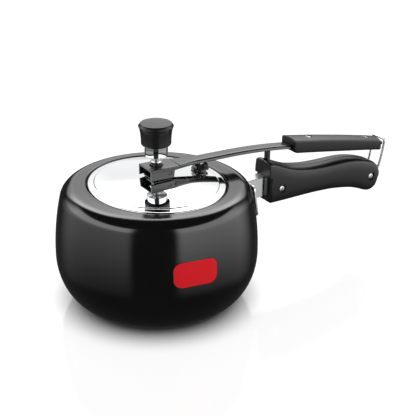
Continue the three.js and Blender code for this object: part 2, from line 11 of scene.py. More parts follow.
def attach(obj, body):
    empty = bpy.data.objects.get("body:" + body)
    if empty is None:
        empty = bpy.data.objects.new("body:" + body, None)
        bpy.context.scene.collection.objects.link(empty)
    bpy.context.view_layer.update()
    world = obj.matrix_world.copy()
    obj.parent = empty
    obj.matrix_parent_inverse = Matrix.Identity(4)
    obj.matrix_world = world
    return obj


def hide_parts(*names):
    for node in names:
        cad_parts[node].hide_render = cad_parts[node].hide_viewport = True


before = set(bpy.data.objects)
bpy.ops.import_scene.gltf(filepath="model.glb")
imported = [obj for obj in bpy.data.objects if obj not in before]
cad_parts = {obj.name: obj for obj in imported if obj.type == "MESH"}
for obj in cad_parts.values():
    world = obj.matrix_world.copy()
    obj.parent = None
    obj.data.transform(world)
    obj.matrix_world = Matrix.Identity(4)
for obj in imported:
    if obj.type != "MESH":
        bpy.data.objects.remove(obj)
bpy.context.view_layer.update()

bl_info = {
    "name": "Inner-lid pressure cooker",
    "version": (1, 0, 0),
    "blender": (4, 5, 0),
    "location": "3D View > Sidebar > Cooker",
    "description": "Builds a stovetop pressure cooker, piece by piece",
    "category": "Add Mesh",
}

MM = 0.001  # the shapes are drawn in millimetres and scaled to metres at the end
ROUND_STEPS = 144  # steps round the pot and the lid


# ---- colours and sizes that a user would change ----
def linear(hex_colour):
    """An sRGB hex colour as linear red, green and blue."""
    channels = [int(hex_colour[i:i + 2], 16) / 255 for i in (1, 3, 5)]
    return tuple(c / 12.92 if c <= 0.04045 else ((c + 0.055) / 1.055) ** 2.4 for c in channels)


def colour(name, description, hex_colour):
    return FloatVectorProperty(name=name, description=description, subtype="COLOR",
                               size=3, min=0, max=1, default=linear(hex_colour))


def length(name, description, millimetres):
    return FloatProperty(name=name, description=description, unit="LENGTH",
                         subtype="DISTANCE", default=millimetres * MM)


class CookerSizes(PropertyGroup):
    belly_radius: length("Belly radius", "Widest radius of the pot", 98.5)
    belly_height: length("Belly height", "Height of the widest ring", 50.3)
    base_radius: length("Base radius", "Radius of the flat base", 62)
    wall: length("Wall", "Thickness of the pot's wall", 3.2)
    mouth_height: length("Mouth height", "Height of the rim", 119)
    mouth_short: length("Mouth, short half", "Half of the oval mouth along the handle", 65.8)
    mouth_long: length("Mouth, long half", "Half of the oval mouth across the handle", 72)
    handle_half: length("Handle half width", "Half the width of the body handle", 14)
    weight_radius: length("Weight radius", "Radius of the regulator weight", 11)
    wire_radius: length("Wire radius", "Radius of the bail's wire", 1.3)


class CookerColours(PropertyGroup):
    anodised: colour("Anodised", "Hard anodised pot", "#070707")
    mirror: colour("Mirror", "Polished lid and weight", "#D2D3D4")
    bright: colour("Bright steel", "Bracket, bail and vent tube", "#D2D3D4")
    plated: colour("Plated", "Screws and nuts", "#D8D6D2")
    lever: colour("Lever", "Dark satin coating of the lever", "#111112")
    phenolic: colour("Phenolic", "Black moulded handles", "#0E0E0F")
    rubber: colour("Rubber", "Gasket", "#1B1B1C")
    label: colour("Label", "Red label", "#C4121C")
    nut: colour("Dark nut", "Blackened nuts", "#0E0E0F")
    floor: colour("Floor", "Pale floor", "#FAFAFA")


def sizes():
    return bpy.context.scene.cooker_sizes


def shade(name):
    return tuple(getattr(bpy.context.scene.cooker_colours, name)) + (1.0,)


# ---- materials ----
def add_node(tree, kind, inputs=None, **options):
    """Adds a shader node, sets its options, and fills or links its inputs."""
    node = tree.nodes.new("ShaderNode" + kind)
    for option, value in options.items():
        setattr(node, option, value)
    for name, value in (inputs or {}).items():
        if isinstance(value, bpy.types.NodeSocket):
            tree.links.new(value, node.inputs[name])
        else:
            node.inputs[name].default_value = value
    return node


def per_metre(millimetres):
    """Texture scale for a pattern that repeats about every so many millimetres."""
    return 1 / (millimetres * MM)


def start_material(name, **settings):
    """A material with one Principled shader, and a node that gives Object coordinates."""
    material = bpy.data.materials.new(name)
    material.use_nodes = True
    tree = material.node_tree
    shader = tree.nodes["Principled BSDF"]
    for setting, value in settings.items():
        shader.inputs[setting.replace("_", " ")].default_value = value
    place = add_node(tree, "TexCoord").outputs["Object"]
    return material, tree, shader, place


def noise(tree, place, size_mm, detail=2.0, roughness=0.5):
    return add_node(tree, "TexNoise", {"Vector": place, "Scale": per_metre(size_mm),
                                       "Detail": detail, "Roughness": roughness}).outputs["Fac"]


def spread(tree, value, low, high):
    """Maps noise, which stays near its middle, to a range."""
    return add_node(tree, "MapRange", {"Value": value, "From Min": 0.3, "From Max": 0.7,
                                       "To Min": low, "To Max": high}).outputs["Result"]


def between(tree, value, first, second):
    """Mixes two colours by a value."""
    mix = add_node(tree, "Mix", data_type="RGBA")
    tree.links.new(value, mix.inputs["Factor"])
    mix.inputs["A"].default_value = first
    mix.inputs["B"].default_value = second
    return mix.outputs["Result"]


def bumped(tree, shader, height, depth_mm, strength=1.0):
    bump = add_node(tree, "Bump", {"Height": height, "Distance": depth_mm * MM,
                                   "Strength": strength})
    tree.links.new(bump.outputs["Normal"], shader.inputs["Normal"])


def scaled(tint, factor):
    return tuple(channel * factor for channel in tint[:3]) + (1.0,)


def anodised_aluminium():
    # Hard anodised and sealed: a dense black oxide, glossy at a glance, with a very fine
    # pearl grain. The real 0.1 mm grain is drawn at 0.5 mm so that it shows.
    tint = shade("anodised")
    material, tree, shader, place = start_material("hard_anodised_aluminium", IOR=1.55)
    cloud = noise(tree, place, 35)
    grain = noise(tree, place, 0.5, 3)
    tree.links.new(between(tree, cloud, scaled(tint, 0.8), scaled(tint, 1.3)),
                   shader.inputs["Base Color"])
    tree.links.new(spread(tree, cloud, 0.1, 0.15), shader.inputs["Roughness"])
    bumped(tree, shader, grain, 0.004, 0.5)
    return material


def mirror_steel():
    # Stainless steel, pressed and mirror polished: sharp reflections with a faint haze.
    tint = shade("mirror")
    material, tree, shader, place = start_material("mirror_polished_steel", Metallic=1.0)
    haze = noise(tree, place, 18, 4)
    tree.links.new(between(tree, haze, scaled(tint, 0.95), tint), shader.inputs["Base Color"])
    tree.links.new(spread(tree, haze, 0.02, 0.045), shader.inputs["Roughness"])
    bumped(tree, shader, noise(tree, place, 45, 1), 0.02, 0.15)
    return material


def drawn_steel(name, key, low, high, stretch):
    """Bright steel with a fine grain, drawn out along an axis where its stretch is small."""
    # Cold drawn wire and rolled strip, or turned and nickel plated: clear but soft
    # reflections, broken up by the fine lines that the tool left.
    tint = shade(key)
    material, tree, shader, place = start_material(name, Metallic=1.0)
    turned = add_node(tree, "Mapping", {"Vector": place, "Scale": stretch}).outputs["Vector"]
    lines = noise(tree, turned, 0.8, 3)
    tree.links.new(between(tree, lines, scaled(tint, 0.86), tint), shader.inputs["Base Color"])
    tree.links.new(spread(tree, lines, low, high), shader.inputs["Roughness"])
    bumped(tree, shader, lines, 0.006, 0.5)
    return material


def lever_coating():
    # Steel with a satin, dark grey baked coating: soft reflections over a faint orange peel.
    tint = shade("lever")
    material, tree, shader, place = start_material("dark_baked_coating", IOR=1.6)
    peel = noise(tree, place, 2.2, 2)
    cloud = noise(tree, place, 22)
    tree.links.new(between(tree, cloud, scaled(tint, 0.85), scaled(tint, 1.2)),
                   shader.inputs["Base Color"])
    tree.links.new(spread(tree, peel, 0.2, 0.26), shader.inputs["Roughness"])
    bumped(tree, shader, peel, 0.006, 0.3)
    return material


def phenolic_plastic():
    # Compression moulded phenolic resin: deep black, satin, with a fine filler grain of
    # about 0.3 mm, drawn at 0.9 mm so that it shows.
    tint = shade("phenolic")
    material, tree, shader, place = start_material("moulded_phenolic", IOR=1.42)
    grain = noise(tree, place, 0.9, 4, 0.6)
    flow = noise(tree, place, 30)
    tree.links.new(between(tree, flow, scaled(tint, 0.8), scaled(tint, 1.35)),
                   shader.inputs["Base Color"])
    tree.links.new(spread(tree, grain, 0.3, 0.38), shader.inputs["Roughness"])
    bumped(tree, shader, grain, 0.01, 0.3)
    return material


def gasket_rubber():
    # Moulded rubber: matt, with a little bloom.
    tint = shade("rubber")
    material, tree, shader, place = start_material("moulded_rubber", IOR=1.5)
    bloom = noise(tree, place, 6, 4)
    tree.links.new(between(tree, bloom, tint, scaled(tint, 2.0)), shader.inputs["Base Color"])
    tree.links.new(spread(tree, bloom, 0.65, 0.85), shader.inputs["Roughness"])
    bumped(tree, shader, noise(tree, place, 0.8), 0.03, 0.4)
    return material


def label_enamel():
    # Baked red enamel on a thin metal plate: even colour under a soft gloss. The low IOR
    # keeps the red deep.
    tint = shade("label")
    material, tree, shader, place = start_material("red_enamel", IOR=1.22)
    cloud = noise(tree, place, 14, 2)
    tree.links.new(between(tree, cloud, scaled(tint, 0.94), tint), shader.inputs["Base Color"])
    tree.links.new(spread(tree, cloud, 0.38, 0.44), shader.inputs["Roughness"])
    bumped(tree, shader, noise(tree, place, 1.2), 0.004, 0.3)
    return material


def blackened_steel():
    # Turned steel with a black oxide: near black, a little cloudy, with a soft gloss.
    tint = shade("nut")
    material, tree, shader, place = start_material("black_oxide_steel", IOR=1.8)
    wear = noise(tree, place, 3, 4)
    tree.links.new(between(tree, wear, tint, scaled(tint, 2.2)), shader.inputs["Base Color"])
    tree.links.new(spread(tree, wear, 0.2, 0.32), shader.inputs["Roughness"])
    bumped(tree, shader, noise(tree, place, 0.7, 3), 0.01, 0.4)
    return material


MAKERS = {
    "anodised_aluminium": anodised_aluminium,
    "mirror_steel": mirror_steel,
    "bright_steel": lambda: drawn_steel("bright_drawn_steel", "bright", 0.26, 0.38, (0.1, 0.1, 1)),
    "plated_screw": lambda: drawn_steel("nickel_plated_steel", "plated", 0.1, 0.2, (1, 1, 1)),
    "lever_steel": lever_coating,
    "phenolic_black": phenolic_plastic,
    "black_rubber": gasket_rubber,
    "red_label": label_enamel,
    "dark_nut": blackened_steel,
}
made_materials = {}


def finish_of(slot):
    """The material for one of the record's slots, made once."""
    if slot not in made_materials:
        made_materials[slot] = MAKERS[slot]()
    return made_materials[slot]


# ---- shapes ----
def arc(centre, radius, start, end, steps):
    """Points across and up on an arc, with angles in degrees turning from across to up."""
    turns = [math.radians(start + (end - start) * i / steps) for i in range(steps + 1)]
    return [(centre[0] + radius * math.cos(t), centre[1] + radius * math.sin(t)) for t in turns]


def smooth_line(points):
    """A function of the distance along that gives a smooth line through the points."""
    def value(at):
        i = 1
        while i < len(points) - 1 and at > points[i][0]:
            i += 1
        before, a, b = points[max(i - 2, 0)], points[i - 1], points[i]
        after = points[min(i + 1, len(points) - 1)]
        width = b[0] - a[0]
        t = min(max((at - a[0]) / width, 0), 1)
        slope_a = (b[1] - before[1]) / (b[0] - before[0]) * width
        slope_b = (after[1] - a[1]) / (after[0] - a[0]) * width
        return ((2 * t**3 - 3 * t**2 + 1) * a[1] + (t**3 - 2 * t**2 + t) * slope_a
                + (3 * t**2 - 2 * t**3) * b[1] + (t**3 - t**2) * slope_b)
    return value


def spun(profile, steps=64):
    """Turns an outline of (radius, height) points once round the Z axis."""
    shape = bmesh.new()
    points = [shape.verts.new((radius, 0, height)) for radius, height in profile]
    edges = [shape.edges.new(pair) for pair in zip(points, points[1:])]
    bmesh.ops.spin(shape, geom=points + edges, cent=(0, 0, 0), axis=(0, 0, 1),
                   angle=2 * math.pi, steps=steps, use_merge=True)
    return tidied(shape)


def tidied(shape, dist=1e-4):
    bmesh.ops.remove_doubles(shape, verts=shape.verts[:], dist=dist)
    bmesh.ops.recalc_face_normals(shape, faces=shape.faces[:])
    return shape


def lofted(rings):
    """A closed skin over a row of rings that all have the same number of points."""
    shape = bmesh.new()
    loops = []
    for ring in rings:
        points = [shape.verts.new(point) for point in ring]
        loops.append([shape.edges.new(pair) for pair in zip(points, points[1:] + points[:1])])
    for near, far in zip(loops, loops[1:]):
        bmesh.ops.bridge_loops(shape, edges=near + far)
    for loop in (loops[0], loops[-1]):
        bmesh.ops.edgeloop_fill(shape, edges=loop)
    return tidied(shape)


def block(low, high):
    """A box between two corners."""
    shape = bmesh.new()
    bmesh.ops.create_cube(shape, size=1)
    bmesh.ops.scale(shape, vec=[b - a for a, b in zip(low, high)], verts=shape.verts[:])
    moved(shape, [(a + b) / 2 for a, b in zip(low, high)])
    return shape


def rounded_block(low, high, radius, segments=3):
    shape = block(low, high)
    bmesh.ops.bevel(shape, geom=shape.edges[:], offset=radius, segments=segments, profile=0.5,
                    affect="EDGES", material=-1)
    return shape


def moved(shape, by):
    bmesh.ops.translate(shape, vec=by, verts=shape.verts[:])
    return shape


def turned_to(shape, axis, at=(0, 0, 0)):
    """Turns a shape made along Z to point along another axis, and moves it."""
    turn = Vector((0, 0, 1)).rotation_difference(Vector(axis)).to_matrix()
    bmesh.ops.rotate(shape, cent=(0, 0, 0), matrix=turn, verts=shape.verts[:])
    return moved(shape, at)


def rod(radius, start, end, axis="Z", steps=40):
    """A plain round rod between two heights along an axis through the origin."""
    shape = spun([(0, start), (radius, start), (radius, end), (0, end)], steps)
    return turned_to(shape, {"Y": (0, 1, 0), "Z": (0, 0, 1)}[axis])


def prism(radius, low, high, sides, corner=0.5):
    """A nut blank: a many-sided prism whose corners are turned off at both ends."""
    shape = bmesh.new()
    bmesh.ops.create_cone(shape, cap_ends=True, segments=sides, radius1=radius,
                          radius2=radius, depth=high - low)
    moved(shape, (0, 0, (low + high) / 2))
    limit = radius * math.cos(math.pi / sides) + 0.1
    rounding = spun([(0, low), (limit, low), (radius + 0.1, low + corner),
                     (radius + 0.1, high - corner), (limit, high), (0, high)], 48)
    return combined(shape, [(rounding, "INTERSECT")])


def as_object(shape, name="shape"):
    mesh = bpy.data.meshes.new(name)
    shape.to_mesh(mesh)
    shape.free()
    holder = bpy.data.objects.new(name, mesh)
    bpy.context.scene.collection.objects.link(holder)
    return holder


def combined(shape, changes):
    """Cuts other shapes from a shape, or joins them to it, one after the other."""
    holder = as_object(shape)
    tools = []
    for tool_shape, operation in changes:
        tool = as_object(tool_shape)
        change = holder.modifiers.new("change", "BOOLEAN")
        change.operation = operation
        change.solver = "EXACT"
        change.object = tool
        tools.append(tool)
    result = bmesh.new()
    result.from_object(holder, bpy.context.evaluated_depsgraph_get())
    for spent in [holder, *tools]:
        bpy.data.objects.remove(spent)
    return tidied(result, 1e-5)


def carved(shape, *cutters):
    return combined(shape, [(cutter, "DIFFERENCE") for cutter in cutters])


def piece(name, shape, body, slot, replaced, crease=32):
    """Makes the finished object: in metres, shaded, on its body, with its finish."""
    bmesh.ops.scale(shape, vec=(MM, MM, MM), verts=shape.verts[:])
    made = as_object(shape, name)
    made.data.materials.append(finish_of(slot))
    made.data.shade_smooth()
    made.data.set_sharp_from_angle(angle=math.radians(crease))
    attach(made, body)
    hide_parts(*replaced)


# ---- pot ----
SIDE_DROP, SIDE_RISE = 9.7, 71.2  # how far the side draws in, and over what height
CORNER_AT, CORNER_R = (78.55, 104.6), 14  # rounding between the side and the shoulder
CORNER_FROM, CORNER_TO = 12.5, 86  # degrees
OVAL_FROM = 105  # the wall turns from round to oval above this height


def mm(name):
    """A size in millimetres."""
    return getattr(sizes(), name) / MM


def side_radius(z):
    return mm("belly_radius") - SIDE_DROP * ((z - mm("belly_height")) / SIDE_RISE) ** 2


def mouth_mean():
    return (mm("mouth_short") + mm("mouth_long")) / 2


def follow_mouth(shape, share_at):
    """Moves points in or out as the oval mouth does, by a share that depends on place."""
    short, long = mm("mouth_short"), mm("mouth_long")
    for point in shape.verts:
        radius = math.hypot(point.co.x, point.co.y)
        share = share_at(radius, point.co.z)
        if share and radius > 1e-6:
            reach = short * long / math.hypot(long * point.co.x / radius,
                                              short * point.co.y / radius)
            factor = 1 + share * (reach - mouth_mean()) / radius
            point.co.x *= factor
            point.co.y *= factor
    return shape


def wall_face(grow, steps):
    """Outline of one face of the wall, from the base to the shoulder's outer end."""
    base, belly, height = mm("base_radius"), mm("belly_radius"), mm("belly_height")
    face = []
    for i in range(steps + 1):
        turn = math.radians(-90 + 90 * i / steps)
        face.append((base + (belly + grow - base) * math.cos(turn),
                     height + (height + grow) * math.sin(turn)))
    corner_start = CORNER_AT[1] + CORNER_R * math.sin(math.radians(CORNER_FROM))
    for i in range(1, steps):
        z = height + (corner_start - height) * i / steps
        face.append((side_radius(z) + grow, z))
    return face + arc(CORNER_AT, CORNER_R + grow, CORNER_FROM, CORNER_TO, steps)


class COOKER_OT_pot(Operator):
    """Makes the round bellied pot with its oval mouth"""
    bl_idname = "cooker.pot"
    bl_label = "Pot"

    def execute(self, context):
        wall, rim = mm("wall"), mm("mouth_height")
        mean = mouth_mean()
        outer = wall_face(0, 20)
        inner = wall_face(-wall, 20)
        outer_end, lip_start = outer[-1], (mean + 1.5, rim)
        shoulder = [(outer_end[0] + (lip_start[0] - outer_end[0]) * t,
                     outer_end[1] + (lip_start[1] - outer_end[1]) * t) for t in (0.25, 0.5, 0.75)]
        lip = arc((mean + 1.6, rim - 1.6), 1.6, 90, 215, 8)
        recess = [(0, 0.7), (50, 0.7), (50.8, 0.1)]  # the base is turned hollow in its middle
        shape = spun(recess + outer + shoulder + lip + inner[::-1] + [(0, wall)], ROUND_STEPS)
        fade = outer_end[0] - lip_start[0]
        follow_mouth(shape, lambda radius, z: 0 if z < OVAL_FROM else
                     min(max((outer_end[0] - radius) / fade, 0), 1))
        piece("pot_shell", shape, "pot", "anodised_aluminium", ["vessel"], crease=50)
        return {"FINISHED"}


def rounded_outline(half_wide, half_high, corner, steps=8):
    """Points round a rectangle with round corners, counter-clockwise from its right side."""
    outline = []
    for across, up, start in ((1, 1, 0), (-1, 1, 90), (-1, -1, 180), (1, -1, 270)):
        centre = (across * (half_wide - corner), up * (half_high - corner))
        outline += arc(centre, corner, start, start + 90, steps)
    return outline


def draped_sheet(outline, place, thickness, rounding, shares=(0.25, 0.5, 0.75)):
    """A sheet with rounded edges. place(across, up, lift) gives a point on its surface."""
    reach = max(abs(across) for across, _ in outline)
    edge = 1 - rounding / reach
    inner_rings = [(share * edge, thickness) for share in shares]
    over = [(edge + (1 - edge) * math.sin(turn), thickness - rounding * (1 - math.cos(turn)))
            for turn in (math.radians(15 * i) for i in range(7))]
    under = [(share, -lift + thickness) for share, lift in over[::-1]]
    back = [(share, 0) for share, _ in inner_rings[::-1]]
    rings = [[place(across * share, up * share, lift) for across, up in outline]
             for share, lift in inner_rings + over + under + back]
    return lofted(rings)


LABEL_TURN = math.radians(-99.5)  # which way the label faces
LABEL_HEIGHT = 69.5
LABEL_GAP = 0.25  # glue under the plate


class COOKER_OT_label(Operator):
    """Makes the plain red label plate on the side of the pot"""
    bl_idname = "cooker.label"
    bl_label = "Label"

    def execute(self, context):
        def place(across, up, lift):
            radius = side_radius(LABEL_HEIGHT + up)
            turn = LABEL_TURN + across / radius
            radius += LABEL_GAP + lift
            return (radius * math.cos(turn), radius * math.sin(turn), LABEL_HEIGHT + up)

        outline = rounded_outline(21, 12, 8)
        plate = draped_sheet(outline, place, 0.7, 0.3, (0.3, 0.6, 0.8, 0.9))
        piece("label_plate_enamel", plate, "pot", "red_label", ["label_plate"], crease=60)
        return {"FINISHED"}


# ---- bracket and rivets ----
SADDLE_BEND = 125  # radius that the saddle is bent to
SADDLE_SHEET = 2
SADDLE_HEIGHT = 91.5  # of its middle
RIVETS = [(-24, 92), (24, 92), (0, 84)]  # Y and Z


def saddle_x(y, z):
    """Inner face of the saddle, which is flatter than the pot."""
    return side_radius(z) + 0.6 - (SADDLE_BEND - math.sqrt(SADDLE_BEND**2 - y**2))


def rivet_shape(y, z):
    outside = saddle_x(y, z) + SADDLE_SHEET
    inside = math.sqrt((side_radius(z) - mm("wall")) ** 2 - (abs(y) + 4) ** 2) - 0.3
    dome = [(4 * math.cos(math.radians(a)), 2.1 * math.sin(math.radians(a)))
            for a in range(0, 91, 15)]
    head_out = [(r, outside + 0.4 + h) for r, h in dome]
    head_in = [(r, inside - h) for r, h in dome[::-1]]
    profile = head_in + [(2.4, inside), (2.4, outside + 0.1), (4, outside + 0.1)] + head_out
    return turned_to(spun(profile, 32), (1, 0, 0), (0, y, z))


def bracket_plate(sign):
    """One side plate: a strip with a joggle where it passes into the handle."""
    sheet = 1.8
    path = [(98.6, 7), (110, 7), (119.6, 7), (120.6, 6.9), (121.4, 6.6), (123.2, 5.5),
            (124, 5.1), (124.8, 5.0), (127.4, 5.35), (128.4, 5.3), (131, 5.2), (165, 5.2)]
    low, high, edge = 79, 100, 0.4
    section = [(-sheet + edge, low), (-edge, low), (0, low + edge), (0, high - edge),
               (-edge, high), (-sheet + edge, high), (-sheet, high - edge), (-sheet, low + edge)]
    return lofted([[(x, sign * (y + depth), z) for depth, z in section] for x, y in path])


class COOKER_OT_bracket(Operator):
    """Makes the handle bracket and the rivets that hold it"""
    bl_idname = "cooker.bracket"
    bl_label = "Bracket"

    def execute(self, context):
        def place(across, up, lift):
            height = SADDLE_HEIGHT + up
            return (saddle_x(across, height) + lift, across, height)

        saddle = draped_sheet(rounded_outline(38, 16.5, 5), place, SADDLE_SHEET, 0.35,
                              (0.1, 0.25, 0.4, 0.55, 0.7, 0.85))
        web = lofted([[(x, side * reach, z) for side, z in ((-1, 98), (1, 98), (1, 100), (-1, 100))]
                      for x, reach in ((97.5, 6.3), (119.6, 6.3), (123.6, 4.5), (165, 4.4))])
        bracket = combined(saddle, [(bracket_plate(1), "UNION"), (bracket_plate(-1), "UNION"),
                                    (web, "UNION")])
        piece("bracket_pressing", bracket, "pot", "bright_steel", ["handle_bracket"])
        for i, (y, z) in enumerate(RIVETS, 1):
            piece(f"rivet_{i}", rivet_shape(y, z), "pot", "bright_steel", [f"bracket_rivet_{i}"])
        return {"FINISHED"}


# ---- body handle ----
handle_top = smooth_line([(125, 115), (129, 114.9), (141, 109.8), (155, 104), (168, 100.9),
                          (181, 98.9), (195, 97.9), (209, 97.6), (222, 97.4), (236, 96.3),
                          (250, 93.4), (264, 88.8), (272, 84.2), (275.4, 79)])
handle_bottom = smooth_line([(125, 71.2), (150, 71), (180, 71), (194, 70.5), (208, 69.6),
                             (222, 67.7), (236, 64.9), (246, 61.6), (254, 58.2), (261, 56.2),
                             (266, 57), (272, 61.6), (275.4, 70)])
HANDLE_FRONT, HANDLE_END, HANDLE_ROLL = 125, 275.4, 1.2
RECESS_DEPTH = 2.2  # of the screw recesses
SCREWS = {"front": (140.8, 85.4), "rear": (262.2, 73.1)}  # X and Z of the handle screws
BAIL_HALF = 8.6  # from the middle out to a leg of the bail


def stations(start, end, step, roll):
    """Places from start to end, with closer ones where the ends roll over."""
    ease = [roll * (1 - math.cos(math.radians(15 * i))) for i in range(6)]
    count = round((end - start - 2 * roll) / step)
    middle = [start + roll + (end - start - 2 * roll) * i / count for i in range(count + 1)]
    return [start + e for e in ease] + middle + [end - e for e in ease[::-1]]


def end_roll(x, start, end, roll):
    """How far the outline draws in near a rolled end."""
    near = min(x - start, end - x)
    return 0 if near >= roll else roll - math.sqrt(max(roll**2 - (roll - near) ** 2, 0))


def handle_section(x, sign):
    draw = end_roll(x, HANDLE_FRONT, HANDLE_END, HANDLE_ROLL)
    half = mm("handle_half") - draw - max(0.35 * (x - 270), 0)
    top, low = handle_top(x) - draw, handle_bottom(x) + draw
    edge = min(3.4, (top - low) / 2 - 0.2)
    middle, tall = (top + low) / 2, (top - low) / 2
    crown, belly = 0.9, 1.0  # the top and the sides are a little round
    outline = [(0.12, top - 0.6 + crown), (0.5, top - 0.12 + crown), (1.0, top + crown)]
    outline += [(y, top + crown * (1 - (y / half) ** 2)) for y in (3.5, 6, 8)]
    outline += arc((half - belly - edge, top - edge), edge, 80, 12, 6)
    outline += [(half - belly * (rise / tall) ** 2, middle + rise) for rise in
                [(tall - edge) * share for share in (0.75, 0.5, 0.25, 0, -0.25, -0.5, -0.75)]]
    outline += arc((half - belly - edge, low + edge), edge, -12, -90, 6)
    outline += [(1.0, low), (0.5, low + 0.12), (0.12, low + 0.6)]
    return [(x, sign * y, z) for y, z in outline]


def screw_recess(place, sign):
    """The round recess for a screw head or nut, with its edge broken."""
    face = mm("handle_half")
    floor = face - RECESS_DEPTH
    profile = [(0, floor), (4.3, floor), (4.5, floor + 0.2), (4.5, face - 0.5),
               (4.9, face + 0.1), (4.9, face + 3), (0, face + 3)]
    return turned_to(spun(profile, 40), (0, sign, 0), (place[0], 0, place[1]))


def handle_half(sign):
    shape = lofted([handle_section(x, sign)
                    for x in stations(HANDLE_FRONT, HANDLE_END, 2.2, HANDLE_ROLL)])
    pocket = block((118, -5.6, 78.6), (165.5, 5.6, 100.4))
    post_slot = rounded_block((126.9, -3.6, 98), (134, 3.6, 122), 0.3)
    y = sign * BAIL_HALF
    bail_slot = block((255.8, y - 1.75, 40), (290, y + 1.75, 110))
    # the front is set back where the bracket's plates enter, below the brow
    set_back = rounded_block((110, -20, 60), (128.4, 20, 99.8), 0.6)
    bores = [moved(rod(2.3, -20, 20, "Y", 24), (x, 0, z)) for x, z in SCREWS.values()]
    return carved(shape, pocket, post_slot, bail_slot, set_back,
                  *[screw_recess(place, sign) for place in SCREWS.values()], *bores)


class COOKER_OT_handle(Operator):
    """Makes the two moulded halves of the body handle"""
    bl_idname = "cooker.handle"
    bl_label = "Body handle"

    def execute(self, context):
        for name, sign in (("near", -1), ("far", 1)):
            piece(f"handle_{name}_moulding", handle_half(sign), "pot", "phenolic_black",
                  [f"handle_half_{name}"], crease=28)
        return {"FINISHED"}


def slotted_screw(head_radius, head_height, shank_radius, shank_length, slot_turn=0):
    """A cheese head screw along Z, whose head starts at z = 0 and faces up."""
    crown = arc((head_radius - 0.45, head_height - 0.45), 0.45, 0, 90, 4)
    profile = [(0, -shank_length), (shank_radius - 0.3, -shank_length),
               (shank_radius, 0.3 - shank_length), (shank_radius, 0), (head_radius, 0)]
    profile += crown + [(head_radius * 0.5, head_height + 0.18), (0, head_height + 0.25)]
    driver = block((-5, -0.42, head_height - 0.5), (5, 0.42, head_height + 2))
    bmesh.ops.rotate(driver, cent=(0, 0, 0), verts=driver.verts[:],
                     matrix=Matrix.Rotation(math.radians(slot_turn), 3, "Z"))
    return carved(spun(profile, 48), driver)


class COOKER_OT_handle_screws(Operator):
    """Makes the slotted screws and the nuts that hold the handle halves together"""
    bl_idname = "cooker.handle_screws"
    bl_label = "Handle screws"

    def execute(self, context):
        seat = mm("handle_half") - RECESS_DEPTH + 0.25
        for (name, (x, z)), turn in zip(SCREWS.items(), (62, 50)):
            screw = slotted_screw(3.2, 1.2, 2, 23.6, turn)
            turned_to(screw, (0, -1, 0), (x, -seat, z))
            piece(f"{name}_screw", screw, "pot", "plated_screw", [f"{name}_handle_screw"])
            nut = carved(prism(3.7, 0, 1.4, 6, 0.3), rod(2.3, -2, 4))
            turned_to(nut, (0, 1, 0), (x, seat, z))
            piece(f"{name}_nut", nut, "pot", "plated_screw", [f"{name}_handle_nut"])
        return {"FINISHED"}


# ---- locking bail ----
BAIL_TOP = (281.6, 111.2)  # X and Z of the crossbar


def wire(points, radius, resolution=6):
    """A round wire with closed ends along a smooth curve through the points."""
    curve = bpy.data.curves.new("wire", "CURVE")
    curve.dimensions = "3D"
    curve.bevel_depth = radius
    curve.bevel_resolution = 4
    curve.resolution_u = resolution
    curve.use_fill_caps = True
    line = curve.splines.new("NURBS")
    line.points.add(len(points) - 1)
    for knot, point in zip(line.points, points):
        knot.co = (*point, 1)
    line.order_u = 4
    line.use_endpoint_u = True
    holder = bpy.data.objects.new("wire", curve)
    bpy.context.scene.collection.objects.link(holder)
    bpy.context.view_layer.update()
    shape = bmesh.new()
    mesh = holder.evaluated_get(bpy.context.evaluated_depsgraph_get()).to_mesh()
    shape.from_mesh(mesh)
    bpy.data.objects.remove(holder)
    bpy.data.curves.remove(curve)
    return tidied(shape)


class COOKER_OT_bail(Operator):
    """Makes the wire bail that locks the grip to the body handle"""
    bl_idname = "cooker.bail"
    bl_label = "Locking bail"

    def execute(self, context):
        radius = mm("wire_radius")
        pivot_x, pivot_z = SCREWS["rear"]
        eye = 2.35 + radius
        ring = arc((pivot_x, pivot_z), eye * 1.03, -285, -15, 14)
        leg = [(*place, 0) for place in ring]
        leg += [(268.4, 74.0, 0), (273.5, 76.6, 0), (276.7, 80.6, 0), (278.2, 87, 0),
                (279.3, 94, 0.2), (280.4, 100, 0.4), (281.4, 106, 0.5)]
        top_x, top_z = BAIL_TOP
        leg += [(top_x, top_z - drop, out) for drop, out in
                ((2, 0.45), (0.5, 0.1), (0, -1.2), (0, -3.4))]
        points = [(x, -BAIL_HALF - out, z) for x, z, out in leg]
        points += [(top_x, y, top_z) for y in (-3, 0, 3)]
        points += [(x, BAIL_HALF + out, z) for x, z, out in leg[::-1]]
        piece("bail_wire", wire(points, radius), "bail", "bright_steel", ["locking_bail"],
              crease=60)
        return {"FINISHED"}


# ---- lid ----
LID_STEP_INSET = 8.3  # from the mouth in to the step round the lid's crown
LID_TOP, LID_DOME = 124.6, 4.3  # height of the lid's middle, and how far the dome falls


def crown_height(radius):
    """Height of the lid's gently domed top at a radius."""
    edge = mouth_mean() - LID_STEP_INSET
    return LID_TOP - LID_DOME * (radius / edge) ** 2


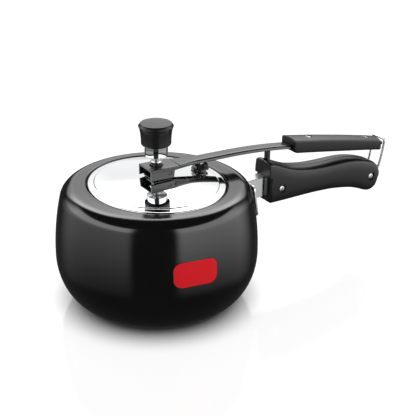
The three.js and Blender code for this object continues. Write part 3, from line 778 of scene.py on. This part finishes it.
class COOKER_OT_lid(Operator):
    """Makes the mirror polished inner lid and its rubber gasket"""
    bl_idname = "cooker.lid"
    bl_label = "Lid"

    def execute(self, context):
        mean = mouth_mean()
        edge, side, sheet = mean - LID_STEP_INSET, mean - 1.2, 1.5
        crown = [(r, crown_height(r)) for r in
                 [3.4] + [edge * i / 14 for i in range(1, 14)] + [edge - 1, edge - 0.4, edge]]
        top = crown_height(edge)
        step = [(edge + 0.12, top - 0.1), (edge + 0.3, top - 0.78), (edge + 0.55, top - 0.94),
                (edge + 1.2, top - 1.0), (side - 2.1, top - 1.5)]
        roll = arc((side - 1.6, top - 3.05), 1.6, 68, 0, 6)
        flange = [(side, 112.4), (side + 0.4, 112), (mean + 3.4, 112), (mean + 3.7, 111.7),
                  (mean + 3.7, 110.8), (mean + 3.4, 110.5), (side - 0.8, 110.5),
                  (side - sheet, 111.2), (side - sheet, 117), (side - 3, top - 2.9),
                  (edge - 0.6, top - sheet - 0.3)]
        under = [(r, z - sheet) for r, z in crown[::-1][2:]]
        shape = spun(crown + step + roll + flange + under + [crown[0]], ROUND_STEPS)
        follow_mouth(shape, lambda radius, z: min(radius / mean, 1))
        piece("lid_pressing", shape, "lid", "mirror_steel", ["lid"], crease=60)

        inner, low = mean - 0.9, 112.3
        ring = [(inner, low), (inner + 4.2, low), (inner + 4.4, low + 0.6),
                (inner + 4.1, low + 1.7), (inner + 3, low + 2.5), (inner + 1.2, low + 2.9),
                (inner + 0.3, low + 2.7), (inner, low + 2.2), (inner, low)]
        seal = follow_mouth(spun(ring, ROUND_STEPS), lambda radius, z: 1)
        piece("gasket_ring", seal, "lid", "black_rubber", ["sealing_gasket"])
        return {"FINISHED"}


# ---- vent, its nuts and the lid bracket ----
PIN_AT = (8.2, 131)  # X and Z of the lever's pivot pin on the lid
PIN_HALF = 11.6
VALVE_X = 49


class COOKER_OT_vent(Operator):
    """Makes the lid bracket, the vent tube with its nuts, and the lever's pivot pin"""
    bl_idname = "cooker.vent"
    bl_label = "Vent and bracket"

    def execute(self, context):
        low, top, half = 124.9, 133.6, 9.8
        outer = rounded_block((-8.5, -half, low), (11.2, half, top + 8), 0.7)
        room = rounded_block((-12, 1.5 - half, low + 1.5), (15, half - 1.5, top + 12), 0.7)
        trim = block((-20, -20, top), (20, 20, top + 20))
        stirrup = carved(outer, room, trim, rod(3.5, 110, 140),
                         moved(rod(2.1, -20, 20, "Y"), (PIN_AT[0], 0, PIN_AT[1])))
        piece("lid_stirrup", stirrup, "lid", "lever_steel", ["lid_bracket"])

        tube = [(1.2, 117.1), (2.7, 117.1), (3, 117.4), (3, 139.4), (4.2, 139.4)]
        tube += arc((3.9, 141), 1.6, -80, 80, 8) + [(3.6, 142.9)]
        tube += arc((3.7, 144.6), 1.25, -60, 75, 7) + [(3.3, 146.4), (3, 147), (3, 166)]
        tube += [(1.9, 169), (1.2, 169), (1.2, 117.1)]
        piece("vent_spindle", spun(tube, 64), "lid", "bright_steel", ["vent_tube"])

        collar = prism(5.8, 126.9, 139, 8, 0.6)
        collar = combined(collar, [(rod(3.3, 110, 150), "DIFFERENCE")])
        piece("vent_collar_nut", collar, "lid", "dark_nut", ["vent_nut"])
        locknut = carved(prism(6.5, 118.8, 122.8, 6), rod(3.3, 110, 130))
        piece("vent_lock_nut", locknut, "lid", "plated_screw", ["vent_locknut"])

        end = PIN_HALF
        pin = spun([(0, -end), (1.5, -end), (1.8, 0.3 - end), (1.8, end - 0.3), (1.5, end),
                    (0, end)], 32)
        turned_to(pin, (0, 1, 0), (PIN_AT[0], 0, PIN_AT[1]))
        piece("pivot_pin", pin, "lever", "lever_steel", ["lid_pivot_pin"])
        return {"FINISHED"}


class COOKER_OT_safety_valve(Operator):
    """Makes the safety valve in the lid"""
    bl_idname = "cooker.safety_valve"
    bl_label = "Safety valve"

    def execute(self, context):
        x, seat = VALVE_X, crown_height(VALVE_X - 8) + 0.3
        flange = spun([(0, -11), (3.7, -11), (4, -10.7), (4, 0), (8.3, 0), (8.6, 0.3), (8.6, 1.2),
                       (8.2, 1.7), (6, 1.9), (0, 1.9)], 64)
        hexagon = prism(7.6, 1.2, 5.8, 6, 0.9)
        crown = rod(2.6, -14, 10)
        slots = []
        for turn in (20, 80, 140):  # the top is castellated
            slot = rounded_block((-9, -1.1, 4.3), (9, 1.1, 8), 0.3)
            bmesh.ops.rotate(slot, cent=(0, 0, 0), verts=slot.verts[:],
                             matrix=Matrix.Rotation(math.radians(turn), 3, "Z"))
            slots.append((slot, "DIFFERENCE"))
        body = combined(flange, [(hexagon, "UNION"), (crown, "DIFFERENCE"), *slots])
        piece("valve_body", moved(body, (x, 0, seat)), "lid", "dark_nut", ["safety_valve_body"])
        dome = [(3.3 * math.cos(math.radians(a)), 6.9 + 0.9 * math.sin(math.radians(a)))
                for a in range(0, 91, 15)]
        plug = spun([(0, -0.4), (1.9, -0.4), (2.2, 0), (2.2, 6), (3.3, 6.1)] + dome, 40)
        piece("valve_plug", moved(plug, (x, 0, seat)), "lid", "bright_steel",
              ["safety_valve_plug"])
        under = crown_height(x + 8) - 1.8
        nut = carved(prism(6.8, under - 3, under, 6), rod(4.3, 100, 130))
        piece("valve_nut", moved(nut, (x, 0, 0)), "lid", "plated_screw", ["safety_valve_nut"])
        return {"FINISHED"}


class COOKER_OT_regulator(Operator):
    """Makes the pressure regulator: a polished weight under a black cap"""
    bl_idname = "cooker.regulator"
    bl_label = "Regulator"

    def execute(self, context):
        radius = mm("weight_radius")
        weight = [(0, 170.2), (3.5, 170.2), (3.5, 147.6), (4, 147.1)]
        weight += arc((radius - 0.7, 147.8), 0.7, -90, 0, 4)
        weight += [(radius, 161.7), (8.6, 161.7), (8.6, 174), (0, 174)]
        piece("weight", spun(weight, 96), "regulator", "mirror_steel", ["regulator_weight"])

        skirt = radius + 0.3
        cap = [(skirt, 158), (12.0, 157.5)] + arc((12.2, 159.7), 2.1, -80, 0, 7)
        cap += [(14.36, 162), (14.5, 165), (14.8, 168.5), (15.3, 172), (15.9, 174.4)]
        cap += arc((15.6, 176.2), 1.05, -40, 45, 6)
        cap += [(15.5, 178.1), (14.9, 178.85), (14.3, 179.1), (13.6, 179.1), (12.8, 178.95),
                (0, 178.6)]
        cap += [(0, 174.3), (8.9, 174.3), (8.9, 162), (skirt, 162), (skirt, 158)]
        piece("cap", spun(cap, 96), "regulator", "phenolic_black", ["regulator_cap"], crease=40)
        return {"FINISHED"}


# ---- lever and grip ----
lever_top = smooth_line([(-12.3, 137.1), (12.4, 136.4), (38, 135.6), (50, 135.2), (70, 134.7),
                         (90, 134.1), (110, 133), (130, 131.2), (145, 129.4), (160, 127.2),
                         (200, 120.2), (240, 112.6), (268, 106.6)])
lever_half = smooth_line([(-12.3, 11.8), (14, 11.8), (20, 10.6), (34, 8.2), (42, 7.6), (150, 7.6),
                          (268, 7.6)])
LEVER_FRONT, LEVER_END = -12.3, 268
FOLD_X = 19.3  # a transverse fold where the wide end channel meets the bar
CHANNEL_END = 12.4
CHANNEL_DEPTH, BAR_DEPTH = 10.7, 3.6
POST_AT = (130.1, 102)  # X and Z of the foot that the lever rocks on


def lever_section(x):
    sheet = 1.6
    roll = 1.0 + 2.1 * min(max((x - 16) / 24, 0), 1)
    dip = 0.45 * max(1 - abs(x - FOLD_X) / 0.7, 0)
    half, top = lever_half(x), lever_top(x) - dip
    share = min(max((x - CHANNEL_END) / 1.1, 0), 1)
    eased = share * share * (3 - 2 * share)
    low = lever_top(x) - (CHANNEL_DEPTH + (BAR_DEPTH - CHANNEL_DEPTH) * eased)
    inside, under, rounding = half - sheet, top - sheet, max(roll - sheet, 0.5)
    right = [(half - 0.35, low), (half, low + 0.35)]
    right += arc((half - roll, top - roll), roll, 0, 90, 6)
    left = [(-y, z) for y, z in right[::-1]]
    hollow_left = [(-inside - 0.35, low), (-inside, low + 0.35)]
    hollow_left += [(-y, z) for y, z in arc((inside - rounding, under - rounding), rounding,
                                           0, 90, 3)]
    hollow_right = [(-y, z) for y, z in hollow_left[::-1]]
    return [(x, y, z) for y, z in right + left + hollow_left + hollow_right]


class COOKER_OT_lever(Operator):
    """Makes the pressed lever and the post that it rocks on"""
    bl_idname = "cooker.lever"
    bl_label = "Lever"

    def execute(self, context):
        places = [LEVER_FRONT + 1.9 * i for i in range(14)]
        places += [12.7, 13.0, 13.3, 13.6, 15, 17, 18.6, FOLD_X, 20.0, 22, 24]
        places += [26 + 4 * i for i in range(61)] + [LEVER_END]
        rings = [lever_section(x) for x in places]
        pin_hole = moved(rod(2.0, -20, 20, "Y"), (PIN_AT[0], 0, PIN_AT[1]))
        bar = carved(lofted(rings), rod(6.8, 130, 150), pin_hole)
        piece("lever_pressing", bar, "lever", "lever_steel", ["lever_bar"], crease=24)

        x, z = POST_AT
        top = lever_top(x) - 1.75
        post = rounded_block((x - 1.7, -3.1, z), (x + 1.7, 3.1, top), 0.35)
        foot = moved(rod(1.7, -3.1, 3.1, "Y"), (x, 0, z))
        collar = rounded_block((x - 4.5, -5.6, top - 1.6), (x + 4.5, 5.6, top), 0.5)
        post = combined(post, [(foot, "UNION"), (collar, "UNION")])
        piece("rocking_post", post, "lever", "lever_steel", ["fulcrum_post"])
        return {"FINISHED"}


grip_top = smooth_line([(156, 133.7), (176, 130.3), (196, 126.8), (216, 123), (237, 118.9),
                        (259, 114.3), (280, 109.6)])
grip_depth = smooth_line([(156, 13.4), (196, 13.1), (237, 12.2), (280, 10.6)])
grip_half = smooth_line([(156, 11.5), (196, 10.9), (237, 10.3), (280, 9.6)])
GRIP_FRONT, GRIP_END, GRIP_ROLL = 156, 277.6, 1.6
GRIP_CROWN = 2.2
GRIP_SCREWS = {"front": 182, "rear": 261.5}  # X


def grip_section(x):
    roll = end_roll(x, GRIP_FRONT, GRIP_END, GRIP_ROLL)
    chin = 4 - math.sqrt(max(16 - max(160 - x, 0) ** 2, 0))  # round lower front corner
    half, top = grip_half(x) - roll, grip_top(x) - roll * 0.8
    low = grip_top(x) - grip_depth(x) + max(chin, roll)
    edge, under = 1.3, 2.0
    outline = [(y, top + GRIP_CROWN * (1 - (y / (half - edge)) ** 2))
               for y in (1.5, 3.5, 5.5, 7.5)]
    outline += arc((half - edge, top - edge), edge, 65, 0, 5)
    outline += arc((half - under, low + under), under, 0, -90, 5)
    outline += [(half - 5, low)]
    return [(x, y, z) for y, z in outline + [(-y, z) for y, z in outline[::-1]]]


class COOKER_OT_grip(Operator):
    """Makes the black grip on the lever and its two screws"""
    bl_idname = "cooker.grip"
    bl_label = "Grip"

    def execute(self, context):
        bar_room = lofted([
            [(x, side * 7.9, lever_top(x) + drop) for side, drop in
             ((-1, -3.9), (1, -3.9), (1, 0.3), (-1, 0.3))]
            for x in [150 + 6 * i for i in range(20)] + [268.5]])
        changes = [(bar_room, "DIFFERENCE")]
        tongue = lofted([[(x, side * 4.5, z) for side, z in ((-1, 103.6), (1, 103.6), (1, top),
                                                            (-1, top))]
                         for x, top in ((272, 109), (279.4, 109), (283.2, 106.5))])
        changes.append((tongue, "UNION"))
        for name, x in GRIP_SCREWS.items():
            slope = (grip_top(x + 1) - grip_top(x - 1)) / 2
            up = Vector((-slope, 0, 1)).normalized()
            recess = spun([(0, -1.6), (3.8, -1.6), (4, -1.4), (4, -0.3), (4.5, 0.15), (4.5, 3),
                           (0, 3)], 40)
            rim = Vector((x, 0, grip_top(x) + 2))
            changes.append((turned_to(recess, up, rim), "DIFFERENCE"))
            screw = slotted_screw(3.4, 1.0, 2, 2.6, 25)
            turned_to(screw, up, rim - 1.35 * up)
            piece(f"grip_{name}_screw", screw, "lever", "plated_screw", [f"grip_screw_{name}"])
        body = lofted([grip_section(x)
                       for x in stations(GRIP_FRONT, GRIP_END, 2.5, GRIP_ROLL)])
        piece("grip_moulding", combined(body, changes), "lever", "phenolic_black", ["lid_grip"],
              crease=28)
        return {"FINISHED"}


# ---- stage: floor, surrounding light and camera ----
CAMERA_AT = (-0.4392, -0.7596, 0.4923)
LOOK = (0.4990, 0.7609, -0.4148)
ROLL = 0.74  # degrees
LENS = 86.54  # millimetres, on a 36 mm sensor
BEARING = math.radians(33.26)  # the camera looks this far from +Y towards +X


def place_camera():
    data = bpy.data.cameras.new("camera")
    data.sensor_width = 36
    data.lens = LENS
    data.dof.use_dof = False
    camera = bpy.data.objects.new("camera", data)
    bpy.context.scene.collection.objects.link(camera)
    forward = Vector(LOOK).normalized()
    right = forward.cross(Vector((0, 0, 1))).normalized()
    up = right.cross(forward)
    turn = math.radians(ROLL)
    side = right * math.cos(turn) + up * math.sin(turn)
    head = up * math.cos(turn) - right * math.sin(turn)
    axes = Matrix((side, head, -forward)).transposed().to_4x4()
    camera.matrix_world = Matrix.Translation(CAMERA_AT) @ axes
    bpy.context.scene.camera = camera


def studio_light():
    """White surroundings that gloss sees as light boxes: behind, overhead and on each side."""
    world = bpy.data.worlds.new("studio")
    bpy.context.scene.world = world
    world.use_nodes = True
    tree = world.node_tree
    way = add_node(tree, "TexCoord").outputs["Generated"]

    def math_node(operation, *values):
        return add_node(tree, "Math", dict(enumerate(values)), operation=operation).outputs[0]

    def along(axis):
        dot = add_node(tree, "VectorMath", {0: way, 1: axis}, operation="DOT_PRODUCT")
        return dot.outputs["Value"]

    def window(value, low, low_full, high_full, high):
        """1 between the full values, easing to 0 outside, all in degrees."""
        rise = add_node(tree, "MapRange", {"Value": value, 1: low, 2: low_full},
                        interpolation_type="SMOOTHSTEP").outputs[0]
        fall = add_node(tree, "MapRange", {"Value": value, 1: high_full, 2: high, 3: 1, 4: 0},
                        interpolation_type="SMOOTHSTEP").outputs[0]
        return math_node("MULTIPLY", rise, fall)

    sin, cos = math.sin(BEARING), math.cos(BEARING)
    right, away, up = along((cos, -sin, 0)), along((sin, cos, 0)), along((0, 0, 1))
    degrees = 180 / math.pi
    lift = math_node("MULTIPLY", math_node("ARCSINE", up), degrees)
    arch = math_node("MULTIPLY", math_node("ARCTAN2", up, away), degrees)
    toward = math_node("MULTIPLY", away, -1.0)
    bearing = math_node("MULTIPLY", math_node("ARCTAN2", right, toward), degrees)

    turn = math_node("ABSOLUTE", bearing)
    left, right_side = window(bearing, -140, -105, -31, -21), window(bearing, 21, 31, 105, 140)
    behind, back_corners = window(turn, 158, 168, 180, 181), window(turn, 136, 150, 158, 170)
    side_fall, upper = window(lift, -38, 16, 33, 40), window(lift, 2, 16, 33, 40)
    boxes = [  # two shares that are multiplied, and the strength
        (window(arch, 2, 10, 24, 50), behind, 1.25),  # pale wall behind
        # overhead, towards the back
        (window(arch, 22, 42, 54, 64), window(turn, 136, 150, 180, 181), 4.3),
        (right_side, side_fall, 2.9),
        (left, side_fall, 1.5),
        (left, upper, 1.8),  # the left box is stronger higher up
        (back_corners, window(lift, 13, 21, 50, 62), 1.2),
    ]
    total = 0.05  # a little light from everywhere
    for across, along_height, strength in boxes:
        share = math_node("MULTIPLY", across, along_height)
        total = math_node("MULTIPLY_ADD", share, strength, total)
    # what the eye and matt surfaces meet is even and white; only gloss shows the light boxes
    path = add_node(tree, "LightPath")
    even = math_node("MAXIMUM", path.outputs["Is Camera Ray"], path.outputs["Is Diffuse Ray"])
    strength = add_node(tree, "Mix", {"Factor": even, "A": total, "B": 1.0}, data_type="FLOAT")
    tree.links.new(strength.outputs[0], tree.nodes["Background"].inputs["Strength"])
    world.cycles.sampling_method = "NONE"
    tree.nodes["Background"].inputs["Color"].default_value = (1, 1, 1, 1)


class COOKER_OT_stage(Operator):
    """Makes the pale floor, the studio light and the camera"""
    bl_idname = "cooker.stage"
    bl_label = "Stage"

    def execute(self, context):
        context.scene.view_settings.view_transform = "Standard"
        shape = bmesh.new()
        bmesh.ops.create_grid(shape, x_segments=2, y_segments=2, size=6)
        floor = as_object(shape, "floor")
        # Glossy white acrylic that glows evenly by emission; close to what stands on it the glow is
        # dimmed by ambient occlusion, a painted contact shadow, and it mirrors it faintly.
        material, tree, shader, place = start_material("backlit_white_acrylic", IOR=1.35,
                                                       Roughness=0.1)
        tint = shade("floor")
        paper = between(tree, noise(tree, place, 300), scaled(tint, 0.99), tint)
        tree.links.new(paper, shader.inputs["Emission Color"])
        shader.inputs["Base Color"].default_value = scaled(tint, 0.12)
        # painted contact shadow: ambient occlusion dims the floor's glow close to the pot
        painted_shadow_ao = add_node(tree, "AmbientOcclusion", {"Distance": 0.038}).outputs["AO"]
        glow_with_painted_shadow = add_node(tree, "MapRange", {"Value": painted_shadow_ao, "From Min": 0.08, "From Max": 0.87,
                                           "To Max": 0.92}, interpolation_type="SMOOTHSTEP")
        tree.links.new(glow_with_painted_shadow.outputs["Result"], shader.inputs["Emission Strength"])
        floor.data.materials.append(material)
        floor.visible_glossy = False  # so that the pot's side shows the studio, not the floor
        place_camera()
        studio_light()
        return {"FINISHED"}


class COOKER_PT_panel(Panel):
    """Lists the steps in the sidebar"""
    bl_label = "Pressure cooker"
    bl_idname = "COOKER_PT_panel"
    bl_space_type = "VIEW_3D"
    bl_region_type = "UI"
    bl_category = "Cooker"

    def draw(self, context):
        for operator in OPERATORS:
            self.layout.operator(operator.bl_idname)
        for group in (context.scene.cooker_sizes, context.scene.cooker_colours):
            for name in group.__annotations__:
                self.layout.prop(group, name)


OPERATORS = (
    COOKER_OT_stage, COOKER_OT_pot, COOKER_OT_label, COOKER_OT_bracket, COOKER_OT_handle,
    COOKER_OT_handle_screws, COOKER_OT_bail, COOKER_OT_lid, COOKER_OT_vent,
    COOKER_OT_safety_valve, COOKER_OT_regulator, COOKER_OT_lever, COOKER_OT_grip,
)
CLASSES = (CookerSizes, CookerColours, *OPERATORS, COOKER_PT_panel)


def register():
    for cls in CLASSES:
        bpy.utils.register_class(cls)
    bpy.types.Scene.cooker_sizes = PointerProperty(type=CookerSizes)
    bpy.types.Scene.cooker_colours = PointerProperty(type=CookerColours)


def unregister():
    del bpy.types.Scene.cooker_colours
    del bpy.types.Scene.cooker_sizes
    for cls in reversed(CLASSES):
        bpy.utils.unregister_class(cls)


def main():
    register()
    for operator in OPERATORS:
        group, step = operator.bl_idname.split(".")
        getattr(getattr(bpy.ops, group), step)()


if __name__ == "__main__":
    main()
